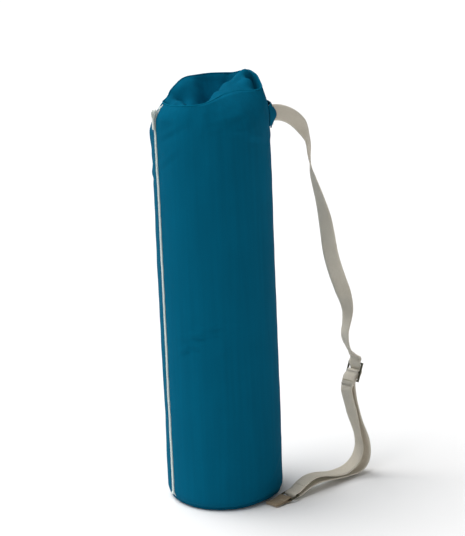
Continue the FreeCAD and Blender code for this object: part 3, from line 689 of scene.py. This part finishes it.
flat = anchors[:, :2]
count = len(flat)
linear = np.c_[np.ones(count), flat / RADIUS]
STIFFNESS = 2e-4
system = np.block([
    [plate_kernel(flat, flat) + STIFFNESS * np.eye(count), linear], [linear.T, np.zeros((3, 3))],
])
weights = np.linalg.solve(system, np.r_[anchors[:, 2], 0, 0, 0])


def plate_height(places):
    places = np.atleast_2d(places)
    return plate_kernel(places, flat) @ weights[:count] + np.c_[
        np.ones(len(places)), places / RADIUS] @ weights[count:]


# %% The end panel itself
RINGS, SPOKES = ((72, 240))
end_points = []
for ring in range(RINGS):
    share = 1 - ring / RINGS
    for spoke in range(SPOKES):
        degrees = 360 * spoke / SPOKES
        place = rim_point(degrees, share)
        lift = float(plate_height(place)[0])
        edge = 1 - min((1 - share) / 0.06, 1.0)
        lift = lift * (1 - edge) + rim_height(degrees) * edge
        ruffle = noise.noise(Vector((place[0] / 0.03, place[1] / 0.03, 4.2))) * 0.0016 * (1 - edge)
        end_points.append((place[0], place[1], lift + ruffle))
end_points.append((0, 0, float(plate_height(np.zeros(2))[0])))
end_faces = grid_faces(RINGS, SPOKES, closed=True)
last_ring = (RINGS - 1) * SPOKES
end_faces += [(last_ring + s, last_ring + (s + 1) % SPOKES, RINGS * SPOKES) for s in range(SPOKES)]
top_panel = piece(
    "top_end_panel_cloth", end_points, end_faces, cover_cloth
)
thicken(top_panel, PANEL_WALL)
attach(top_panel, "cover")
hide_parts("top_end_panel")
print("end panel from %.0f to %.0f mm" % (
    min(p[2] for p in end_points) / MM, max(p[2] for p in end_points) / MM))

# %% [markdown]
# ## Seams
# Each end panel is sewn to the tube with a narrow welt, a strip of the same cloth folded over the
# raw edges. It is a thin round bead that follows the seam, and its cloth is made a little lighter
# as a painted highlight along the seam. The bottom panel is flat where it stands.


# %% Welts and the bottom panel
def tube(name, line, radius, material, sides=8, body="cover"):
    """A round bead along a closed line of points."""
    line = np.array(line, float)
    ways = np.roll(line, -1, axis=0) - np.roll(line, 1, axis=0)
    ways /= np.linalg.norm(ways, axis=1)[:, None]
    points = []
    for spot, way in zip(line, ways):
        side = np.cross(way, (0, 0, 1.0) if abs(way[2]) < 0.9 else (1.0, 0, 0))
        side /= np.linalg.norm(side)
        other = np.cross(side, way)
        for number in range(sides):
            angle = 2 * math.pi * number / sides
            points.append(spot + radius * (side * math.cos(angle) + other * math.sin(angle)))
    faces = []
    count = len(line)
    for row in range(count):
        for number in range(sides):
            after, below = (number + 1) % sides, (row + 1) % count
            faces.append((row * sides + number, row * sides + after,
                          below * sides + after, below * sides + number))
    made = piece(name, points, faces, material)
    outward(made)
    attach(made, body)


def seam_line(height_of, out_of, step=1.5):
    return [on_wall(d, height_of(d), out_of(d)) for d in np.arange(0, 360, step)]


def welt_depth(degrees):
    """The top seam is turned under where the broad fold rolls over it."""
    return -0.0004 - 0.0030 * rolled_over(degrees)


tube("top_welt", seam_line(rim_height, welt_depth), 0.0012, welt_cloth)
tube("foot_welt", seam_line(foot_height, lambda d: -0.0010), 0.0011, welt_cloth)

bottom_points = []
BOTTOM_RINGS = [  # share of the radius, and height in metres
    (0.0, 0.0006), (0.30, 0.0006), (0.60, 0.0006), (0.86, 0.0006), (0.95, 0.0014), (1.0, 0.0045),
]
SPOKES_LOW = 144
for share, height in BOTTOM_RINGS[1:]:
    for spoke in range(SPOKES_LOW):
        degrees = 360 * spoke / SPOKES_LOW
        reach = wall_radius(degrees, foot_height(degrees)) * share
        lift = (foot_height(degrees) - FOOT_SEAM) * max(0, share - 0.8) / 0.2
        bottom_points.append((math.cos(math.radians(degrees)) * reach,
                              math.sin(math.radians(degrees)) * reach, height + lift))
bottom_points.append((0, 0, BOTTOM_RINGS[0][1]))
bottom_faces = grid_faces(len(BOTTOM_RINGS) - 1, SPOKES_LOW, closed=True)
middle = len(bottom_points) - 1
bottom_faces += [((s + 1) % SPOKES_LOW, s, middle) for s in range(SPOKES_LOW)]
bottom_panel = piece(
    "bottom_end_panel_cloth", bottom_points, bottom_faces, cover_cloth
)
thicken(bottom_panel, PANEL_WALL, 1.0)
outward(bottom_panel)
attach(bottom_panel, "cover")
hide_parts("bottom_end_panel")
print("welts and bottom panel")

# %% [markdown]
# ## Repeated pieces
# Teeth and stitches are the same small shape, set out along a line. Geometry Nodes do that: the
# line is resampled at a fixed spacing, the shape is instanced on each point and turned along the
# line, and the instances are made real with their material.


# %% A tree that sets a shape out along a line
def make_repeat_tree():
    tree = bpy.data.node_groups.new("repeat_along_line", "GeometryNodeTree")
    face = tree.interface
    face.new_socket("Line", in_out="INPUT", socket_type="NodeSocketGeometry")
    face.new_socket("Shape", in_out="INPUT", socket_type="NodeSocketObject")
    face.new_socket("Spacing", in_out="INPUT", socket_type="NodeSocketFloat")
    face.new_socket("Finish", in_out="INPUT", socket_type="NodeSocketMaterial")
    face.new_socket("Pieces", in_out="OUTPUT", socket_type="NodeSocketGeometry")
    nodes, links = tree.nodes, tree.links
    given, result = nodes.new("NodeGroupInput"), nodes.new("NodeGroupOutput")
    curve = nodes.new("GeometryNodeMeshToCurve")
    even = nodes.new("GeometryNodeResampleCurve")
    even.mode = "LENGTH"
    tangent = nodes.new("GeometryNodeInputTangent")
    across = nodes.new("GeometryNodeInputNamedAttribute")
    across.data_type = "FLOAT_VECTOR"
    across.inputs["Name"].default_value = "outward"
    aim = nodes.new("FunctionNodeAxesToRotation")
    aim.primary_axis, aim.secondary_axis = "X", "Z"
    shape = nodes.new("GeometryNodeObjectInfo")
    copies = nodes.new("GeometryNodeInstanceOnPoints")
    real = nodes.new("GeometryNodeRealizeInstances")
    paint = nodes.new("GeometryNodeSetMaterial")
    links.new(given.outputs["Line"], curve.inputs["Mesh"])
    links.new(curve.outputs[0], even.inputs["Curve"])
    links.new(given.outputs["Spacing"], even.inputs["Length"])
    links.new(even.outputs[0], copies.inputs["Points"])
    links.new(given.outputs["Shape"], shape.inputs["Object"])
    links.new(shape.outputs["Geometry"], copies.inputs["Instance"])
    links.new(tangent.outputs[0], aim.inputs["Primary Axis"])
    links.new(across.outputs["Attribute"], aim.inputs["Secondary Axis"])
    links.new(aim.outputs[0], copies.inputs["Rotation"])
    links.new(copies.outputs[0], real.inputs[0])
    links.new(real.outputs[0], paint.inputs["Geometry"])
    links.new(given.outputs["Finish"], paint.inputs["Material"])
    links.new(paint.outputs[0], result.inputs["Pieces"])
    return tree


repeat_tree = make_repeat_tree()


def small_shape(name, length, width, height, rounded=True):
    """A small capsule or tooth, lying along X, kept out of the scene."""
    shape = bmesh.new()
    if rounded:
        bmesh.ops.create_uvsphere(shape, u_segments=6, v_segments=4, radius=0.5)
    else:
        bmesh.ops.create_cube(shape, size=1.0)
        bmesh.ops.bevel(shape, geom=shape.edges[:], offset=0.16, segments=1, affect="EDGES")
    bmesh.ops.scale(shape, vec=(length, width, height), verts=shape.verts)
    mesh = bpy.data.meshes.new(name)
    shape.to_mesh(mesh)
    shape.free()
    return bpy.data.objects.new(name, mesh)


def repeat(name, lines, outs, shape, spacing, material, body="cover"):
    """Sets a shape out along one or more lines. outs are the outward directions of their points."""
    points, edges, up = [], [], []
    for line, out in zip(lines, outs):
        first = len(points)
        points += [tuple(p) for p in line]
        up += [tuple(o) for o in out]
        edges += [(first + i, first + i + 1) for i in range(len(line) - 1)]
    mesh = bpy.data.meshes.new(name)
    mesh.from_pydata(points, edges, [])
    layer = mesh.attributes.new("outward", "FLOAT_VECTOR", "POINT")
    layer.data.foreach_set("vector", np.array(up, float).ravel())
    made = bpy.data.objects.new(name, mesh)
    bpy.context.collection.objects.link(made)
    modifier = made.modifiers.new("repeat", "NODES")
    modifier.node_group = repeat_tree
    sockets = {s.name: s.identifier for s in repeat_tree.interface.items_tree
               if s.in_out == "INPUT"}
    modifier[sockets["Shape"]] = shape
    modifier[sockets["Spacing"]] = spacing
    modifier[sockets["Finish"]] = material
    bake(made)
    made.data.polygons.foreach_set("use_smooth", [True] * len(made.data.polygons))
    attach(made, body)
    print("%-20s %d faces" % (name, len(made.data.polygons)))
    return made


STITCH_STEP, TACK_STEP = 0.0034, 0.0008
stitch = small_shape("stitch_shape", 0.0026, 0.0006, 0.0005)
tack_stitch = small_shape("tack_shape", 0.0007, 0.0018, 0.0006)
tooth = small_shape("tooth_shape", 0.0011, 0.0031, 0.0019, rounded=False)

# %% [markdown]
# ## The zip
# Two ivory tapes are sewn inside the edges of the side panel, and the teeth stand in the gap
# between them. They follow the panel's own surface, in over the shoulder at the top.

# %% Tapes, teeth and stops
ZIP_LOW, ZIP_HIGH = 0.006, 0.641
CHAIN_LOW, CHAIN_HIGH = 0.016, 0.626


def zip_spot(height, sideways, out):
    """A point by the zip, sideways and outwards from its middle line, in metres."""
    return on_wall(ZIP_AT + math.degrees(sideways / RADIUS), height, out)


zip_out = Vector((math.cos(math.radians(ZIP_AT)), math.sin(math.radians(ZIP_AT)), 0))


def zip_strip(name, node, left, right, low, high, back, front, material, steps=160):
    points, uv = [], []
    columns = 6
    sides = [left + (right - left) * c / (columns - 1) for c in range(columns)]
    corners = [(side, back) for side in sides] + [(side, front) for side in reversed(sides)]
    loop = len(corners)
    for step in range(steps):
        height = low + (high - low) * step / (steps - 1)
        for sideways, out in corners:
            points.append(zip_spot(height, sideways, out))
            uv.append((height, sideways - (left + right) / 2))
    faces = grid_faces(steps, loop, closed=True)
    last = (steps - 1) * loop
    faces += [tuple(reversed(range(loop))), tuple(range(last, last + loop))]
    made = piece(name, points, faces, material, smooth=False, uv=uv)
    outward(made)
    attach(made, "cover")
    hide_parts(node)
    return made


for side, left, right in (("left", -0.0144, -0.0006), ("right", 0.0006, 0.0144)):
    zip_strip("zip_tape_%s_cloth" % side, "zip_tape_" + side, left, right, ZIP_LOW, ZIP_HIGH,
              -0.0020, -0.0013, zip_tape)
heights = np.linspace(CHAIN_LOW, CHAIN_HIGH, 300)
TOOTH_STEP = 0.0020
for side, sideways, shift in (("left", -0.0014, 0.0), ("right", 0.0014, TOOTH_STEP / 2)):
    line = [zip_spot(h + shift, sideways, -0.0002) for h in heights]
    teeth = repeat("zip_coil_" + side, [line], [[zip_out] * len(line)], tooth, TOOTH_STEP,
                   zip_nylon)
    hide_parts("zip_teeth_" + side)
zip_strip("zip_top_stop_blocks", "zip_top_stops", -0.003, 0.003, 0.6353, 0.6388,
          -0.0012, 0.0010, zip_nylon, 4)

# %% Topstitching beside the zip and round the foot
ZIP_ROW_GAP, FOOT_ROW_RISE = 0.0068, 0.0055


def wall_row(direction, low, high, out=0.00015, count=220):
    line = [on_wall(direction, low + (high - low) * i / (count - 1), out) for i in range(count)]
    return line, [Vector((p[0], p[1], 0)).normalized() for p in line]


zip_rows = [wall_row(ZIP_AT + side * math.degrees(ZIP_ROW_GAP / RADIUS), 0.009, 0.634)
            for side in (-1, 1)]
repeat("zip_topstitching", [r[0] for r in zip_rows], [r[1] for r in zip_rows], stitch, STITCH_STEP,
       teal_thread)


def round_row(height_of, below, out=0.00015):
    turns = np.arange(ZIP_AT + 5, ZIP_AT + 355.5, 1.0)
    spots = [on_wall(d, height_of(d) + below, out) for d in turns]
    return spots, [Vector((p[0], p[1], 0)).normalized() for p in spots]


foot_row = round_row(foot_height, FOOT_ROW_RISE)
repeat("foot_topstitching", [foot_row[0]], [foot_row[1]], stitch, STITCH_STEP,
       teal_thread)

# %% [markdown]
# ## The patch, the tab and the folds of webbing
# The strap's upper end is sewn under a pointed patch of cover cloth. At the foot a short loop of
# the same webbing holds the ring, coloured browner and darker as painted shade. Each is held by a
# bar tack, which is a dense row of stitches across it.

# %% The pointed patch on the wall
PATCH_AT, PATCH_MIDDLE = 5.0, 0.611
PATCH_WIDTH, PATCH_HEIGHT, PATCH_POINT, PATCH_THICK = 0.034, 0.032, 0.009, 0.0015
patch_points, patch_columns, patch_rows = [], 17, 21
for row in range(patch_rows):
    for column in range(patch_columns):
        across = (column / (patch_columns - 1) - 0.5) * PATCH_WIDTH
        high = PATCH_MIDDLE + PATCH_HEIGHT / 2
        low = PATCH_MIDDLE - PATCH_HEIGHT / 2 - PATCH_POINT * (1 - abs(across) / (PATCH_WIDTH / 2))
        height = low + (high - low) * row / (patch_rows - 1)
        degrees = PATCH_AT + math.degrees(across / RADIUS)
        crown = max(0.0, 1 - (across / (PATCH_WIDTH / 2)) ** 2) ** 1.5
        by_strap = math.exp(-((height - 0.608) / 0.014) ** 2)
        swell = 0.0022 * min(1, row / 10) + 0.0075 * by_strap
        patch_points.append(on_wall(degrees, height, 0.0016 + crown * swell))
patch = piece("anchor_patch_cloth", patch_points, grid_faces(patch_rows, patch_columns),
              cover_cloth)
thicken(patch, PATCH_THICK, bevel=0.0004)
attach(patch, "cover")
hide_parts("strap_anchor_patch")


def across_row(direction, height, length, out):
    half = math.degrees(length / 2 / RADIUS)
    spots = [on_wall(d, height, out) for d in np.linspace(direction - half, direction + half, 24)]
    return spots, [Vector((p[0], p[1], 0)).normalized() for p in spots]


tack_rows = [across_row(PATCH_AT, PATCH_MIDDLE + lift, 0.022, out)
             for lift, out in ((0.0128, 0.0058), (-0.0158, 0.0054))]
tacks = repeat("anchor_tack_stitches", [r[0] for r in tack_rows], [r[1] for r in tack_rows],
               tack_stitch, TACK_STEP, natural_thread)
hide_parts("anchor_bar_tacks")

# %% The fold round the slide's centre bar
SLIDE_ALONG, SLIDE_UP, SLIDE_TURN = 0.1985, 0.1676, math.radians(244.5)


def by_slide(along, off):
    """A point in the slide's own frame: along it, and off its flat, in the strap's plane."""
    return in_plane(
        SLIDE_ALONG + along * math.cos(SLIDE_TURN) - off * math.sin(SLIDE_TURN),
        SLIDE_UP + along * math.sin(SLIDE_TURN) + off * math.cos(SLIDE_TURN),
    )


def laid(name, spots, body, material):
    """Webbing that lies flat along a few spots, without a twist."""
    line = np.array([s[:] for s in spots], float)
    gone = np.r_[0, np.cumsum(np.linalg.norm(np.diff(line, axis=0), axis=1))]
    return ribbon(name, line, gone, [(0, 0), (1, 0)], body=body, material=material)


EYE = 0.0027
fold_spots = [by_slide(0.024, -0.0076), by_slide(0.016, -0.0076), by_slide(0.010, -0.0076)]
fold_spots += [by_slide(0.0055, -0.0056)]
fold_spots += [by_slide(EYE * math.cos(a), EYE * math.sin(a)) for a in np.radians(
    np.arange(-60, -301, -20))]
fold_spots += [by_slide(0.0030, -0.0005), by_slide(0.0062, -0.0030), by_slide(0.010, -0.0055),
               by_slide(0.016, -0.0056), by_slide(0.024, -0.0056)]
end_fold = laid("end_fold_webbing", fold_spots, "slide", webbing)
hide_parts("strap_end_fold")
tack_line = [by_slide(0.016, -0.0088) + plane_normal * s for s in np.linspace(-0.011, 0.011, 24)]
end_tack = repeat("end_fold_stitches", [tack_line], [[by_slide(0, -1) - by_slide(0, 0)] * 24],
                  tack_stitch, TACK_STEP, natural_thread, "slide")
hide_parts("strap_end_tack")

# %% The tab that holds the ring
RING_ALONG, RING_UP = 0.036, 0.005


def by_ring(along, off, out=0.0):
    return in_plane(RING_ALONG + along, RING_UP + off, out)


tab_spots = [by_ring(-0.030, -0.0026), by_ring(-0.020, -0.0026), by_ring(-0.008, -0.0027)]
tab_spots += [by_ring(EYE * math.cos(a), EYE * math.sin(a)) for a in np.radians(
    np.arange(-90, 91, 20))]
tab_spots += [by_ring(-0.004, 0.0022), by_ring(-0.010, 0.0004), by_ring(-0.016, -0.0004),
              by_ring(-0.030, -0.0006)]
# The tab's brown finish is painted shade on natural webbing.
tab = laid("ring_tab_webbing", tab_spots, "cover", tab_weave)
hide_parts("ring_tab")
tab_tack_line = [by_ring(-0.012, 0.0012, 0.006 + s) for s in np.linspace(-0.0055, 0.0055, 14)]
tab_tack = repeat("ring_tab_stitches", [tab_tack_line], [[plane_up] * 14],
                  tack_stitch, TACK_STEP, natural_thread)
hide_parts("ring_tab_tack")

# %% [markdown]
# ## The bolster inside
# The bolster can't be seen in the closed cover, but the part is whole, so it gets its own soft
# shape: a liner with crowned ends, full of packed fibre.

# %% Liner and filling
def soft_drum(name, radius, low, high, crown, material):
    profile, inner = [(0.0, low)], radius - crown
    for share in np.linspace(0.15, 0.85, 6):
        profile.append((radius * share, low))
    for angle in np.radians(np.arange(-90, 1, 15)):
        profile.append((inner + crown * math.cos(angle), low + crown + crown * math.sin(angle)))
    for angle in np.radians(np.arange(0, 91, 15)):
        profile.append((inner + crown * math.cos(angle), high - crown + crown * math.sin(angle)))
    for share in np.linspace(0.85, 0.15, 6):
        profile.append((radius * share, high))
    profile.append((0.0, high))
    sides = 96
    points = [(r * math.cos(2 * math.pi * s / sides), r * math.sin(2 * math.pi * s / sides), z)
              for r, z in profile for s in range(sides)]
    made = piece(name, points, grid_faces(len(profile), sides, closed=True), material)
    outward(made)
    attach(made, "cover")
    return made


liner = soft_drum("bolster_liner", 0.0852, 0.0024, 0.594, 0.014, liner_cloth)
stuffing = soft_drum("bolster_filling", 0.0842, 0.0034, 0.593, 0.0135, filling)
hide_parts("core_liner")
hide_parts("core_fill")
print("bolster inside")

# %% [markdown]
# ## Metal and nylon pieces from the frame
# The ring, the slide, the zip's slider, its pull and the bottom stop already have their true
# shapes, so they stay as they are and only take a finish.

# %% Finishes for the fittings
for node, material in (
    ("strap_ring", dark_metal), ("strap_slide", dark_metal), ("zip_slider", zip_enamel),
    ("zip_pull", zip_enamel), ("zip_bottom_stop", zip_nylon),
):
    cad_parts[node].data.materials.clear()
    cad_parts[node].data.materials.append(material)

# %% [markdown]
# ## Floor and light
# A pale floor, a pale world and two far lamps, as in a plain studio. The main lamp is high, a
# little to the left, and its light is spread wide, so its shadows are soft, the right side is
# darker and the floor stays nearly white. The second lamp is weak and only lifts the left side.

# %% Studio
floor_mesh = bpy.data.meshes.new("floor")
floor_mesh.from_pydata([(-6, -4, 0), (6, -4, 0), (6, 9, 0), (-6, 9, 0)], [], [(0, 1, 2, 3)])
floor = bpy.data.objects.new("floor", floor_mesh)
bpy.context.collection.objects.link(floor)
floor_finish = Finish("pale_floor")
floor_finish.set(Base_Color=(0.9, 0.9, 0.9, 1), Roughness=0.9, Specular_IOR_Level=0.1)
floor.data.materials.append(floor_finish.material)

world = bpy.data.worlds.new("studio")
world.use_nodes = True
world.node_tree.nodes["Background"].inputs["Color"].default_value = (1, 1, 1, 1)
world.node_tree.nodes["Background"].inputs["Strength"].default_value = 0.28
bpy.context.scene.world = world
bpy.context.scene.view_settings.view_transform = "Standard"


def far_lamp(name, towards, strength, spread):
    """A lamp so far off that it lights everything from one direction; spread softens shadows."""
    data = bpy.data.lights.new(name, "SUN")
    data.energy, data.angle = strength, math.radians(spread)
    made = bpy.data.objects.new(name, data)
    bpy.context.collection.objects.link(made)
    made.rotation_euler = Vector(towards).to_track_quat("Z", "Y").to_euler()


far_lamp("main_lamp", (-0.44, 0.10, 0.89), 3.2, 55)
far_lamp("side_lamp", (-0.80, -0.50, 0.33), 0.35, 60)
print("lamps placed")

# %% The end
bpy.context.view_layer.update()
